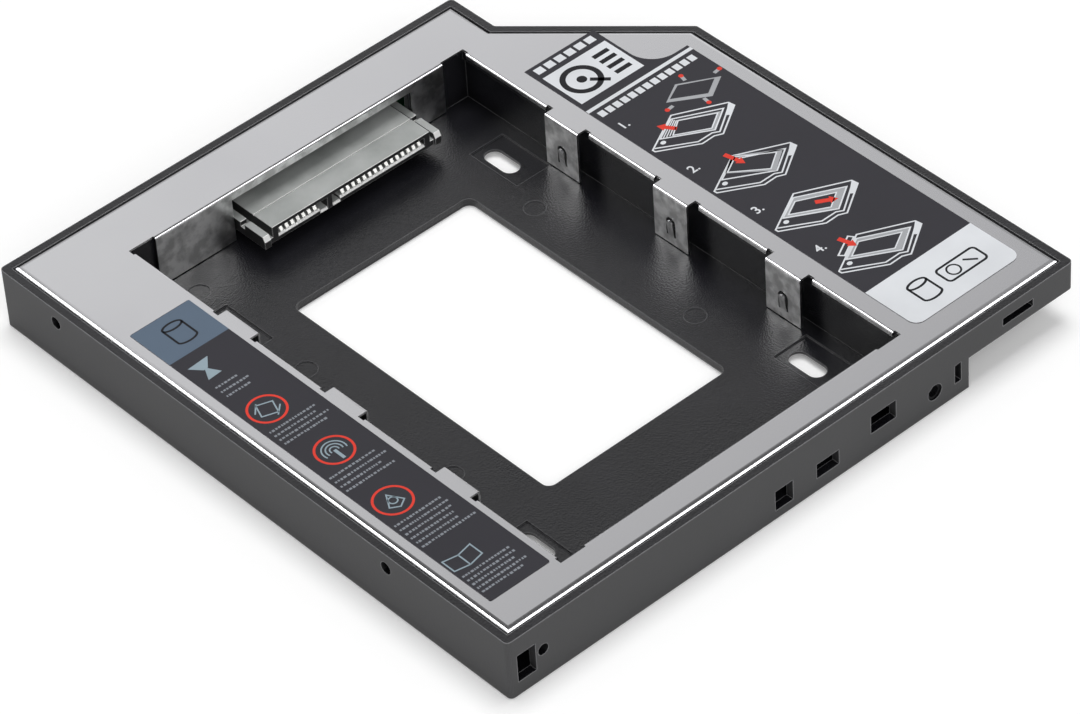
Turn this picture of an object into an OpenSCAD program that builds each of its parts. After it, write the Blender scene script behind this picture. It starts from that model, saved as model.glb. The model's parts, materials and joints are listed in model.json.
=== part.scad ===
// Drive mounting frame: a moulded tray with a folded sheet top that carries a
// 2.5-inch drive in a slim 12.7 mm bay. X runs along the front edge, Y to the
// rear, Z up. Sizes are measured from the front left corner of the underside, and
// the whole part is then set over the middle of its footprint.

/* [Body] */
// Width across the front edge
body_w = 128; // [124:0.5:134]
// Depth from the front face to the rear face
body_d = 129; // [127:0.5:136]
// Height from the underside to the face of the labels
body_h = 12.7; // [12:0.1:14]
// Width of the full-height part, left of the raised wing
deep_w = 103; // [102:0.5:106]
// Height of the wing's underside
wing_z = 6.5; // [5.5:0.1:7.5]
// Distance from the rear face to the rear end of the slanted corner
cut_back = 11.5; // [10:0.5:16]
// Length of the slanted corner along the depth
cut_l = 26; // [24:0.5:30]
// Radius of the upright corners
corner_r = 0.9; // [0.4:0.1:1.4]

/* [Tray] */
// Thickness of the outer walls
wall_t = 1.6; // [1.2:0.1:2]
// Thickness of the floor
floor_t = 1.6; // [1.2:0.1:2]
// Thickness of the wing's floor
wing_floor_t = 1.4; // [1:0.1:2]
// Thickness of the walls round the bay
bay_wall_t = 1.4; // [1:0.1:1.8]
// Thickness of the ribs in the hollow sides
rib_t = 1; // [0.8:0.1:1.4]
// Height of the sheet's face above the tray's rim
plate_proud = 0.3; // [0.1:0.05:0.35]
// Gap from the bay's side walls to the side folds of the sheet
wall_gap = 0.7; // [0.6:0.1:1]
// Gap from the bay's end walls to the front fold and the rear flange
end_gap = 0.4; // [0.3:0.05:0.6]
// How far the bead under the folded edges stands out of the bay's wall
bead_out = 0.5; // [0.2:0.05:0.5]
// Height of the bead
bead_h = 1.8; // [1:0.1:2.5]

/* [Bay] */
// Distance from the left side to the middle of the bay
bay_mid_x = 56.35; // [55.5:0.05:57]
// Width of the bay between the side folds of the sheet
bay_w = 75; // [74.6:0.1:76]
// Depth of the front fold of the sheet
bay_front_y = 8; // [7.5:0.1:8.5]
// Room behind the rear flange, up to the rear face
rear_room = 13.3; // [13:0.1:14]
// Depth of the recess in the floor round each screw slot
recess_deep = 0.3; // [0.2:0.05:0.4]
// Length of a recess
recess_l = 12.4; // [11:0.1:14]
// Width of a recess
recess_w = 7.8; // [7:0.1:8.4]

/* [Floor openings] */
// Left edge of the window in the floor
window_x = 36; // [34:0.5:40]
// Width of the window
window_w = 40.6; // [34:0.2:42]
// Front edge of the window
window_y = 30.6; // [29:0.2:36]
// Distance from the window's rear edge to the bay's rear wall
window_back = 20.9; // [20:0.1:30]
// Radius of the window's corners
window_r = 1.6; // [0.5:0.1:4]
// Spacing of the drive's screws across the bay
screw_span_x = 61.72; // [61:0.01:63]
// Spacing of the drive's screws along the bay
screw_span_y = 76.6; // [75:0.1:78]
// Depth of the front pair of screw slots
screw_front_y = 22.2; // [21:0.1:24]
// Width of a screw slot
slot_w = 3.6; // [3.2:0.1:3.8]
// Length of a screw slot
slot_l = 7.8; // [6:0.1:8]
// Width left for the head of a drive screw
head_w = 6.2; // [5.4:0.1:6.6]
// How deep the heads of the drive screws are sunk
head_deep = 0.8; // [0.4:0.1:0.9]
// Diameter of the round marks that the mould's pins leave on the floor
pin_mark_d = 4; // [3:0.5:5]
// Depth of the pin marks
pin_mark_deep = 0.15; // [0.05:0.05:0.3]

/* [Front and side holes] */
// Radius of the screw holes in the left side
side_hole_r = 1.2; // [0.9:0.1:1.4]
// Height of the side holes
side_hole_z = 9.2; // [8.5:0.1:9.6]
// Depth of the front one of the side holes
side_hole_y = 29.2; // [26:0.1:32]
// Distance from the rear face to the rear one of the side holes
side_hole_back = 15; // [13:0.1:18]
// Radius of the bosses behind the side holes
side_boss_r = 2.4; // [2:0.1:2.6]
// Radius of the peg holes in the front face
peg_hole_r = 1.1; // [0.8:0.1:1.2]
// Radius of the sunk ring round the right peg hole
peg_ring_r = 1.6; // [1.4:0.05:1.8]
// Depth of that ring
peg_ring_deep = 0.4; // [0.2:0.1:0.8]

/* [Sheet] */
// Thickness of the sheet
sheet_t = 0.4; // [0.3:0.05:0.45]
// Outer radius of the folds
bend_r = 0.5; // [0.5:0.05:0.6]
// Gap round the sheet inside the tray's rim
sheet_gap = 0.1; // [0.05:0.05:0.2]
// Outer radius of the rolled edge all round the sheet
roll_r = 1.2; // [0.8:0.1:1.4]
// Height of the upright part below the rolled edge
roll_leg = 0.3; // [0.1:0.1:0.6]
// Height of the straight part of the short folds
lip_leg = 0.5; // [0.3:0.1:1]
// How far the relief notches reach behind the folds
notch_deep = 0.65; // [0.6:0.05:0.8]
// Length of the relief notches
notch_l = 1.4; // [0.8:0.1:2]
// Distance from the bay's corners to the side folds
side_relief = 1.4; // [1:0.1:2]
// Distance from the bay's corners to the front and rear folds
end_relief = 5.4; // [4:0.1:6]
// Spring tabs along each side of the bay
tab_count = 3; // [2:1:4]
// Width of a spring tab
tab_w = 8.3; // [7:0.1:10]
// Distance from tab to tab
tab_pitch = 27.6; // [22:0.1:28]
// How far the row of tabs is set forward of the bay's middle
tab_shift = 1.05; // [0:0.05:3]
// How far the tabs stand into the bay from the side folds
tab_out = 1.55; // [1.2:0.05:1.8]
// Gap between the tabs' ends and the floor
tab_gap = 0.2; // [0.1:0.05:0.5]
// Height of the sheet that is left above the gate in the rear flange
flange_web = 1.8; // [1:0.1:2.6]
// Width of the sprung tongue in a tab
tongue_w = 1.5; // [1:0.1:2]
// Length of the tongue, its round end included
tongue_l = 3.6; // [3:0.1:4.5]
// Width of the slit round the tongue
slit_w = 0.4; // [0.3:0.05:0.6]
// Height of the tongue's root
tongue_z = 3.6; // [3:0.1:4.5]
// Lean of the tongue into the bay, in degrees
tongue_lean = 7; // [4:0.5:8]

/* [Drive receptacle] */
// Distance from the left side to the middle of the receptacle
recept_mid_x = 61; // [60:0.1:62]
// How far the receptacle's mouth stands in front of the rear flange
recept_out = 7.3; // [7:0.1:8]
// Length of the receptacle's housing
recept_l = 11.6; // [11:0.1:12]
// Width of its middle part
recept_w = 36.2; // [35:0.1:37]
// Height of its top above the floor
recept_h = 5.8; // [5.4:0.1:6.4]
// Height of its underside above the floor
recept_under = 2.4; // [2.2:0.1:2.6]
// Width of the guide at each end
guide_w = 1.4; // [1.2:0.1:1.8]
// Width of the groove between the housing and a guide
groove_w = 0.8; // [0.5:0.05:0.9]
// How far the guides stand out in front of the mouth
guide_out = 0.5; // [0.3:0.1:1.5]
// How far the guides' tops lie below the housing's top
guide_drop = 0.9; // [0.5:0.1:1.4]
// Height of the slots in the mouth
mouth_h = 1.5; // [1.3:0.05:1.7]
// Depth of the slots in the mouth
mouth_deep = 6; // [5:0.1:6.5]
// Plastic above the slots in the mouth
mouth_roof = 0.8; // [0.6:0.1:1]
// Pitch of the drive contacts
contact_pitch = 1.27; // [1.25:0.01:1.29]
// Width of a drive contact
contact_w = 0.8; // [0.6:0.05:0.85]
// Thickness of all contacts
contact_t = 0.25; // [0.2:0.05:0.3]
// Gap round a contact in its channel
contact_gap = 0.05; // [0.02:0.01:0.1]
// Number of signal contacts
signal_count = 7; // [5:1:7]
// Number of power contacts
power_count = 15; // [12:1:15]
// Distance between the last signal and the first power contact
key_span = 6.35; // [6.1:0.05:6.5]

/* [Board and host plug] */
// Height of the bosses that the board stands on
boss_h = 1.8; // [1.4:0.1:2.2]
// Radius of those bosses
boss_r = 2.2; // [1.8:0.1:2.4]
// Thickness of the circuit board
board_t = 1; // [0.8:0.1:1.2]
// Left edge of the circuit board
board_x = 29; // [28:0.5:30]
// Gap round the circuit board
board_gap = 0.3; // [0.2:0.05:0.4]
// Radius of the board's screws
screw_r = 0.7; // [0.6:0.05:0.8]
// Length of the board's screws under the head
screw_l = 3.2; // [2.8:0.1:3.4]
// Radius of the screw heads
screw_head_r = 1.6; // [1.4:0.1:1.8]
// Height of the screw heads
screw_head_h = 1; // [0.8:0.1:1.2]
// Distance from the full-height part's right side to the middle of the host plug
plug_inset = 18.8; // [18:0.1:20]
// Width of the host plug
plug_w = 21.6; // [21:0.1:22.4]
// Height of the host plug
plug_h = 5.4; // [5:0.1:5.6]
// Length of the host plug
plug_l = 6.6; // [6.4:0.1:6.8]
// Depth of the host plug's mouth
plug_deep = 5; // [4.5:0.1:5.2]
// Wall of the host plug
plug_wall = 0.9; // [0.7:0.05:1]
// Thickness of the host plug's tongues
blade_t = 1.2; // [1:0.05:1.3]
// Pitch of the host plug's power contacts
host_power_pitch = 1; // [0.95:0.01:1.05]
// Number of signal contacts in the host plug
host_signal_count = 7; // [5:1:7]
// Number of power contacts in the host plug
host_power_count = 6; // [4:1:6]
// Width of a host plug contact
host_contact_w = 0.5; // [0.4:0.05:0.6]

/* [Labels] */
// Thickness of the labels
label_t = 0.1; // [0.05:0.01:0.15]
// Width of the guide label on the right
guide_label_w = 25; // [22:0.1:26]
// Distance from the sheet's rear edge to the guide label
guide_label_back = 23.7; // [23:0.1:40]
// Width of the guide label's narrow end
guide_label_end_w = 16.4; // [12:0.1:17]
// Radius of the hollow beside the narrow end
guide_label_hollow_r = 5.6; // [4:0.1:6]
// Width of the side label on the left
side_label_w = 12.8; // [10:0.1:13]
// Distance from the sheet's rear edge to the side label
side_label_back = 28.1; // [26:0.1:46]
// Margin from the sheet's front edge to the labels
label_front = 5.2; // [4.5:0.1:8]

/* [Hidden] */
eps = 0.01;
reach = 1;
through = body_h + 2 * reach;
arc_steps = 6;
cut_end_y = body_d - cut_back;
cut_start_y = cut_end_y - cut_l;
turn = atan2(body_w - deep_w, cut_l);

plate_z = body_h - label_t;
seat_z = plate_z - sheet_t;
rim_z = plate_z - plate_proud;
plate_inset = wall_t + sheet_gap;
bay_rear_y = body_d - rear_room;
recept_front_y = bay_rear_y - recept_out;

fold_l = bay_mid_x - bay_w / 2;
fold_r = bay_mid_x + bay_w / 2;
bay_l = fold_l - sheet_t - wall_gap;
bay_r = fold_r + sheet_t + wall_gap;
bay_f = bay_front_y - sheet_t - end_gap;
bay_b = bay_rear_y + sheet_t + end_gap;
window_l = bay_b - window_back - window_y;
tab_mid_y = (bay_front_y + bay_rear_y) / 2 - tab_shift;
side_hole_span = body_d - side_hole_back - side_hole_y;
groove_z = plate_z - roll_r - roll_leg - tab_gap;

recess_out = 1;
recess_front = 0.9;
mark_spots = [[27.2, 44.5], [27.2, 81.6], [27.2, 110], [82.4, 44.5], [82.4, 85]];
front_ribs = [30, 42, 54, 65, 76.5, 89];

// Clip holes of the front face: left edge, underside, width, height
clip_holes = [
    [1.8, 2.8, 3.9, 5.7],
    [58.2, 1.8, 4, 4.2],
    [67.6, 2.7, 5.1, 3.1],
    [80.1, 4.4, 5.8, 3.8],
    [deep_w - 3.3, 2.8, 1.5, 4]
];
wing_clip = [body_w - 16.9, 8.4, 7.2, 1.6];
peg_holes = [[7.3, 6.2], [deep_w - 8, 4]];

plug_mid_x = deep_w - plug_inset;
board_z = floor_t + boss_h;
board_top = board_z + board_t;
board_y = bay_b + bay_wall_t + board_gap;
board_l = body_d - wall_t - board_gap - board_y;
board_w = deep_w - wall_t - 2 * board_gap - bay_wall_t - board_x;
board_screw_y = board_y + board_l - boss_r - board_gap;
board_screw_inset = 5;
board_screw_clear = 7.4;
board_screw_x = [board_x + board_screw_inset, plug_mid_x - plug_w / 2 - board_screw_clear];
screw_hole_gap = 0.2;
capacitor = [0.8, 1.6, 0.8];
capacitor_inset = 8;
capacitor_count = 3;
capacitor_pitch = 3.2;

mouth_top = floor_t + recept_h - mouth_roof;
contact_z = mouth_top - contact_t - contact_gap;
recept_back_y = recept_front_y + recept_l;
contact_span = (signal_count + power_count - 2) * contact_pitch + key_span;
signal_x = recept_mid_x - contact_span / 2;
power_x = signal_x + (signal_count - 1) * contact_pitch + key_span;
gate_w = recept_w + 2 * (groove_w + guide_w + board_gap);
foot_l = 0.9;
tip_back = 0.1;
tip_clear = 0.5;
tip_slope = 0.9;
key_drop = 0.6;
key_w = 1.7;
mouth_margin = 0.9;
lead_in_w = 0.3;
groove_floor_h = 1.2;
seam_back = 4.9;
seam_w = 0.15;
seam_deep = 0.2;
guide_tip_h = 1;
guide_tip_l = 0.5;
guide_notch_l = 1.1;
guide_notch_deep = 1;

plug_z = board_top;
plug_y = body_d - plug_l;
blade_z = plug_z + plug_h / 2 - blade_t / 2;
host_signal_w = (host_signal_count - 1) * contact_pitch;
host_power_w = (host_power_count - 1) * host_power_pitch;
host_gap = 3.6;
host_x = plug_mid_x - (host_signal_w + host_power_w + host_gap) / 2;
host_power_x = host_x + host_signal_w + host_gap;
blade_margin = 0.7;
blade_back = 0.4;
host_contact_back = 0.8;

label_y = plate_inset + label_front;
plate_rear_y = body_d - plate_inset;
guide_label_l = plate_rear_y - guide_label_back - label_y;
guide_label_margin = 3.6;
guide_label_x = body_w - plate_inset - guide_label_margin - guide_label_w;
guide_label_neck_l = 15.2;
guide_label_r = 2;
side_label_margin = 2.8;
side_label_front = label_y + 1.9;
side_label_l = plate_rear_y - side_label_back - side_label_front;
side_label_r = 0.4;

function numbered(name, count) = [for (i = [1 : count]) str(name, i)];
signal_names = numbered("signal_contact_", signal_count);
power_names = numbered("power_contact_", power_count);
host_signal_names = numbered("host_signal_contact_", host_signal_count);
host_power_names = numbered("host_power_contact_", host_power_count);
capacitor_names = numbered("filter_capacitor_", capacitor_count);

function unit(v) = v / norm(v);

// Arc that rounds the corner p between its neighbours a and b
function corner_arc(a, p, b, r) =
    let (u = unit(a - p), v = unit(b - p), half = acos(u * v) / 2,
         middle = p + unit(u + v) * r / sin(half),
         start = p + u * r / tan(half) - middle,
         end = p + v * r / tan(half) - middle,
         from = atan2(start.y, start.x),
         sweep = (atan2(end.y, end.x) - from + 540) % 360 - 180)
    [for (k = [0 : arc_steps])
        middle + r * [cos(from + sweep * k / arc_steps), sin(from + sweep * k / arc_steps)]];

function rounded(points, r) =
    let (n = len(points))
    [for (i = [0 : n - 1])
        each corner_arc(points[(i + n - 1) % n], points[i], points[(i + 1) % n], r)];

function box_points(x, y, w, l) = [[x, y], [x + w, y], [x + w, y + l], [x, y + l]];

// The body's outline, moved inwards by the same amount on every side
function outline(inset) =
    let (right = body_w - inset, deep = deep_w - inset, rear = body_d - inset,
         slip = inset * tan(turn / 2))
    [[inset, inset], [right, inset], [right, cut_start_y - slip],
     [deep, cut_end_y - slip], [deep, rear], [inset, rear]];

module centred() {
    translate([-body_w / 2, -body_d / 2, 0]) children();
}

module block(x, y, z, w, l, h) {
    translate([x, y, z]) cube([w, l, h]);
}

module prism(points, z, h) {
    translate([0, 0, z]) linear_extrude(h) polygon(points);
}

// Slot along Y with round ends, standing on z
module slot_cut(w, l, z, h) {
    translate([0, 0, z]) {
        translate([-w / 2, -(l - w) / 2, 0]) cube([w, l - w, h]);
        for (side = [-1, 1])
            translate([0, side * (l - w) / 2, 0]) cylinder(d = w, h = h, $fn = 32);
    }
}

// Hollows between ribs, nx by ny of them, open at the top
module cells(x0, x1, y0, y1, nx, ny, z) {
    w = (x1 - x0 - (nx - 1) * rib_t) / nx;
    l = (y1 - y0 - (ny - 1) * rib_t) / ny;
    for (i = [0 : nx - 1], j = [0 : ny - 1])
        block(x0 + i * (w + rib_t), y0 + j * (l + rib_t), z, w, l, through);
}

module at_drive_screws() {
    for (side = [-1, 1], row = [0, 1])
        translate([bay_mid_x + side * screw_span_x / 2, screw_front_y + row * screw_span_y, 0])
            children();
}

module at_side_holes() {
    for (row = [0, 1])
        translate([0, side_hole_y + row * side_hole_span, side_hole_z])
            rotate([0, 90, 0]) children();
}

module at_board_screws() {
    for (x = board_screw_x) translate([x, board_screw_y, 0]) children();
}

// Hollow sides of the tray: left, front, right, rear and wing
module tray_hollows() {
    left_end = bay_l - bay_wall_t;
    right_start = bay_r + bay_wall_t;
    front_end = bay_f - bay_wall_t;
    rear_start = bay_b + bay_wall_t;
    deep_end = deep_w - wall_t;
    rear_end = body_d - wall_t;
    edges = concat([left_end], front_ribs, [right_start - rib_t]);
    cells(wall_t, left_end, wall_t, rear_end, 2, 6, floor_t);
    for (i = [0 : len(edges) - 2])
        block(edges[i] + rib_t, wall_t, floor_t, edges[i + 1] - edges[i] - rib_t,
            front_end - wall_t, through);
    cells(right_start, deep_end, wall_t, rear_start - rib_t, 1, 5, floor_t);
    block(left_end + rib_t, rear_start, floor_t, deep_end - left_end - rib_t,
        rear_end - rear_start, through);
    intersection() {
        cells(deep_w, body_w - wall_t, wall_t, cut_end_y, 2, 5, wing_z + wing_floor_t);
        prism(outline(wall_t), 0, through);
    }
}

// Opening in the bay's rear wall for the receptacle
module receptacle_gate() {
    block(recept_mid_x - gate_w / 2, bay_b - eps, floor_t, gate_w, bay_wall_t + 2 * eps, through);
}

// Groove inside the rim for the sheet's rolled edge
module rim_groove() {
    difference() {
        prism(outline(wall_t), groove_z, through);
        prism(outline(plate_inset + roll_r), 0, seat_z);
    }
}

module front_holes() {
    for (hole = concat(clip_holes, [wing_clip]))
        block(hole[0], -reach, hole[1], hole[2], wall_t + reach + eps, hole[3]);
    for (spot = peg_holes)
        translate([spot.x, -reach, spot.y]) rotate([-90, 0, 0])
            cylinder(r = peg_hole_r, h = wall_t + reach + eps, $fn = 32);
    translate([peg_holes[1].x, -reach, peg_holes[1].y]) rotate([-90, 0, 0])
        cylinder(r = peg_ring_r, h = peg_ring_deep + reach, $fn = 32);
}

module screw_recesses() {
    for (side = [-1, 1], row = [0, 1])
        translate([bay_mid_x + side * (screw_span_x / 2 + recess_out),
                screw_front_y + row * screw_span_y - recess_front, floor_t - recess_deep])
            block(-recess_w / 2, -recess_l / 2, 0, recess_w, recess_l, reach);
}

module tray_shell() {
    difference() {
        union() {
            intersection() {
                prism(rounded(outline(0), corner_r), 0, rim_z);
                block(-reach, -reach, 0, deep_w + reach, body_d + 2 * reach, rim_z);
            }
            prism(rounded(outline(0), corner_r), wing_z, rim_z - wing_z);
        }
        prism(outline(wall_t), seat_z, through);
        block(bay_l, bay_f, floor_t, bay_r - bay_l, bay_b - bay_f, through);
        tray_hollows();
        receptacle_gate();
    }
}

module tray_additions() {
    for (x = [bay_l, bay_r - bead_out])
        block(x, bay_f, seat_z - bead_h, bead_out, bay_b - bay_f, bead_h);
    at_board_screws() cylinder(r = boss_r, h = board_z, $fn = 32);
    at_side_holes() cylinder(r = side_boss_r, h = bay_l / 2, $fn = 32);
}

module tray() {
    plug_cut_w = plug_w + 2 * contact_gap;
    color("#2c2c2f") difference() {
        union() {
            tray_shell();
            intersection() {
                tray_additions();
                block(0, 0, 0, deep_w, body_d, seat_z);
            }
        }
        prism(rounded(box_points(window_x, window_y, window_w, window_l), window_r),
            -reach, through);
        at_drive_screws() {
            slot_cut(slot_w, slot_l, -reach, through);
            slot_cut(head_w, slot_l + head_w - slot_w, -reach, head_deep + reach);
        }
        screw_recesses();
        for (spot = mark_spots)
            translate([spot.x, spot.y, floor_t - pin_mark_deep])
                cylinder(d = pin_mark_d, h = through, $fn = 32);
        at_board_screws() translate([0, 0, board_z - screw_l + board_t - eps])
            cylinder(r = screw_r + contact_gap, h = through, $fn = 24);
        at_side_holes() translate([0, 0, -reach])
            cylinder(r = side_hole_r, h = bay_l / 2 + reach - rib_t, $fn = 24);
        front_holes();
        rim_groove();
        block(plug_mid_x - plug_cut_w / 2, body_d - wall_t - eps, plug_z - contact_gap,
            plug_cut_w, wall_t + reach, plug_h + 2 * contact_gap);
    }
}

// Section of a fold: the sheet comes from the left and turns down at x = 0
module fold_section(leg) {
    difference() {
        translate([-bend_r, -bend_r]) circle(bend_r, $fn = 32);
        translate([-bend_r, -bend_r]) circle(bend_r - sheet_t, $fn = 32);
        translate([-3 * bend_r, -3 * bend_r]) square([2 * bend_r, 4 * bend_r]);
        translate([-3 * bend_r, -3 * bend_r]) square([4 * bend_r, 2 * bend_r]);
    }
    translate([-sheet_t, -bend_r - leg]) square([sheet_t, leg]);
}

// Folded edge along Y from 0 to l, its outer face in the plane x = 0
module fold(l, leg) {
    rotate([90, 0, 180]) mirror([1, 0, 0]) linear_extrude(l) fold_section(leg);
    block(-2 * notch_deep, 0, -sheet_t, 2 * notch_deep - bend_r, l, sheet_t);
}

module tongue_outline(w, l) {
    translate([-w / 2, 0]) square([w, l - w / 2]);
    translate([0, l - w / 2]) circle(d = w, $fn = 32);
}

// Spring tab that stands out by tab_out and hangs down to the floor
module spring_tab() {
    leg = plate_z - floor_t - tab_gap - bend_r;
    root = tongue_z - plate_z;
    translate([tab_out, -tab_w / 2, 0]) difference() {
        fold(tab_w, leg);
        translate([-sheet_t - reach, tab_w / 2, root]) rotate([90, 0, 90])
            linear_extrude(sheet_t + 2 * reach)
                tongue_outline(tongue_w + 2 * slit_w, tongue_l + slit_w);
    }
    translate([tab_out - sheet_t, 0, root]) rotate([90, 0, 90]) rotate([tongue_lean, 0, 0])
        translate([0, -sheet_t, 0]) linear_extrude(sheet_t) tongue_outline(tongue_w, tongue_l + sheet_t);
    block(-2 * notch_deep, -tab_w / 2, -sheet_t, 2 * notch_deep + tab_out - bend_r, tab_w, sheet_t);
}

// Everything folded along one side of the bay, for a bay to the right of x = 0
module side_folds() {
    first = tab_mid_y - (tab_count - 1) * tab_pitch / 2;
    clear = tab_w / 2 + notch_l;
    start = bay_front_y - notch_deep + side_relief;
    end = bay_rear_y + notch_deep - side_relief;
    starts = concat([start], [for (i = [0 : tab_count - 1]) first + i * tab_pitch + clear]);
    ends = concat([for (i = [0 : tab_count - 1]) first + i * tab_pitch - clear], [end]);
    for (i = [0 : tab_count - 1]) translate([0, first + i * tab_pitch, 0]) spring_tab();
    for (i = [0 : tab_count]) translate([0, starts[i], 0]) fold(ends[i] - starts[i], lip_leg);
}

module rear_flange(w) {
    leg = plate_z - floor_t - tab_gap - bend_r;
    gate_h = leg + bend_r - flange_web;
    difference() {
        translate([-w / 2, 0, 0]) rotate([0, 0, -90]) fold(w, leg);
        block(recept_mid_x - bay_mid_x - gate_w / 2, -reach, -leg - bend_r - eps,
            gate_w, sheet_t + 2 * reach, gate_h);
    }
}

function side_angle(points, i) =
    let (n = len(points), along = points[(i + 1) % n] - points[i % n])
    atan2(along.y, along.x);

// Solid with a face along side i of the outline, its upper edge rounded with radius r
module rounded_side(points, i, low, top, r) {
    size = body_w + body_d;
    translate([points[i].x, points[i].y, 0]) rotate([90, 0, side_angle(points, i) - 90])
        linear_extrude(2 * size, center = true) {
            translate([-size, low]) square([size, top - r - low]);
            translate([-size, low]) square([size - r, top - low]);
            translate([-r, top - r]) circle(r, $fn = 64);
        }
}

// Solid inside the body's outline, rounded along its upper edge all round. The slanted side
// and the side behind it meet in an inner corner, so there the two solids are joined.
module rounded_body(inset, low, top, r) {
    points = outline(inset);
    intersection() {
        rounded_side(points, 0, low, top, r);
        rounded_side(points, 1, low, top, r);
        union() {
            rounded_side(points, 2, low, top, r);
            rounded_side(points, 3, low, top, r);
        }
        rounded_side(points, 4, low, top, r);
        rounded_side(points, 5, low, top, r);
    }
}

// Flat sheet with its edge rolled down all round
module rolled_sheet() {
    low = plate_z - roll_r - roll_leg;
    difference() {
        rounded_body(plate_inset, low, plate_z, roll_r);
        rounded_body(plate_inset + sheet_t, low - reach, seat_z, roll_r - sheet_t);
    }
}

module top_plate() {
    opening = box_points(fold_l - notch_deep, bay_front_y - notch_deep,
        bay_w + 2 * notch_deep, bay_rear_y - bay_front_y + 2 * notch_deep);
    end_w = bay_w + 2 * notch_deep - 2 * end_relief;
    color("#c8c8cc") {
        difference() {
            rolled_sheet();
            prism(opening, 0, through);
        }
        translate([0, 0, plate_z]) {
            translate([fold_l, 0, 0]) side_folds();
            translate([fold_r, 0, 0]) mirror([1, 0, 0]) side_folds();
            translate([bay_mid_x + end_w / 2, bay_front_y, 0]) rotate([0, 0, 90])
                fold(end_w, lip_leg);
            translate([bay_mid_x, bay_rear_y, 0]) rear_flange(end_w);
        }
    }
}

// Mouth of one group of contacts, with its key at the left or right end
module mouth(x0, x1, key_x) {
    block(x0, recept_front_y - eps, mouth_top - mouth_h, x1 - x0, mouth_deep, mouth_h);
    block(key_x, recept_front_y - eps, mouth_top - mouth_h - key_drop, key_w, mouth_deep,
        mouth_h + key_drop);
    lead_in(x0, x1, mouth_top - mouth_h);
    lead_in(key_x, key_x + key_w, mouth_top - mouth_h - key_drop);
}

// Slope along the lower edge of a mouth
module lead_in(x0, x1, z) {
    translate([x0, recept_front_y, z]) rotate([90, 0, 90]) linear_extrude(x1 - x0)
        polygon([[-lead_in_w, -2 * lead_in_w], [lead_in_w + eps, eps], [-lead_in_w, eps]]);
}

module contact_channels(x0, count) {
    for (i = [0 : count - 1])
        block(x0 + i * contact_pitch - contact_w / 2 - contact_gap, recept_front_y + reach,
            contact_z - contact_gap, contact_w + 2 * contact_gap, recept_l,
            contact_t + 2 * contact_gap);
}

// Guide at one end of the receptacle, with a slanted tip and a notch in line with the seam
module guide() {
    top = recept_h - guide_drop;
    l = guide_out + recept_l;
    difference() {
        translate([guide_w, 0, 0]) rotate([90, 0, -90]) linear_extrude(guide_w)
            polygon([[0, recept_under], [0, top - guide_tip_h], [-guide_tip_l, top], [-l, top],
                [-l, recept_under]]);
        block(-eps, guide_out + seam_back, top - guide_notch_deep,
            guide_w + 2 * eps, guide_notch_l, reach);
    }
}

module drive_receptacle() {
    left = recept_mid_x - recept_w / 2;
    full_w = recept_w + 2 * (groove_w + guide_w);
    signal_end = signal_x + (signal_count - 1) * contact_pitch;
    power_end = power_x + (power_count - 1) * contact_pitch;
    color("#3a3b3e") difference() {
        union() {
            block(left, recept_front_y, floor_t + recept_under, recept_w, recept_l,
                recept_h - recept_under);
            block(left - groove_w - eps, recept_front_y, floor_t + recept_under,
                recept_w + 2 * (groove_w + eps), recept_l, groove_floor_h);
            for (x = [left - groove_w - guide_w, left + recept_w + groove_w])
                translate([x, recept_front_y - guide_out, floor_t]) guide();
        }
        mouth(signal_x - mouth_margin, signal_end + mouth_margin, signal_end + mouth_margin - eps);
        mouth(power_x - mouth_margin, power_end + mouth_margin,
            power_x - mouth_margin - key_w + eps);
        contact_channels(signal_x, signal_count);
        contact_channels(power_x, power_count);
        block(left - eps, recept_front_y + seam_back, floor_t + recept_h - seam_deep,
            recept_w + 2 * eps, seam_w, reach);
        block(left - groove_w - guide_w - eps, board_y - board_gap, 0, full_w + 2 * eps,
            recept_l, board_top);
    }
}

// Bent contact strip of the receptacle: sloped tip, beam, step down and foot on the board
module drive_contact(x) {
    t = contact_t;
    tip_y = recept_front_y + tip_back;
    tip_z = contact_z - mouth_h + tip_clear;
    step_y = recept_back_y + contact_gap;
    foot_y = step_y + t + foot_l;
    color("#d4d4d0") translate([x - contact_w / 2, 0, 0]) rotate([90, 0, 90])
        linear_extrude(contact_w)
            polygon([
                [tip_y, tip_z], [tip_y + tip_slope, contact_z + t], [step_y + t, contact_z + t],
                [step_y + t, board_top + t], [foot_y, board_top + t], [foot_y, board_top],
                [step_y, board_top], [step_y, contact_z], [tip_y + tip_slope + t, contact_z],
                [tip_y + t, tip_z]
            ]);
}

module circuit_board() {
    color("#1f5a3c") difference() {
        block(board_x, board_y, board_z, board_w, board_l, board_t);
        at_board_screws() translate([0, 0, board_z - reach])
            cylinder(r = screw_r + screw_hole_gap, h = board_t + 2 * reach, $fn = 24);
    }
}

module board_screws() {
    cross_w = 0.35;
    cross_l = 1.8;
    color("#b9bbc0") at_board_screws() difference() {
        union() {
            translate([0, 0, board_top - screw_l]) cylinder(r = screw_r, h = screw_l + eps, $fn = 24);
            translate([0, 0, board_top]) cylinder(r = screw_head_r, h = screw_head_h, $fn = 32);
        }
        for (angle = [0, 90])
            rotate([0, 0, angle])
                block(-cross_w / 2, -cross_l / 2, board_top + screw_head_h / 2,
                    cross_w, cross_l, screw_head_h);
    }
}

module host_channels(x0, count, pitch) {
    for (i = [0 : count - 1])
        block(x0 + i * pitch - host_contact_w / 2 - contact_gap, plug_y - eps,
            blade_z + blade_t, host_contact_w + 2 * contact_gap, plug_l,
            contact_t + contact_gap);
}

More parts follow.
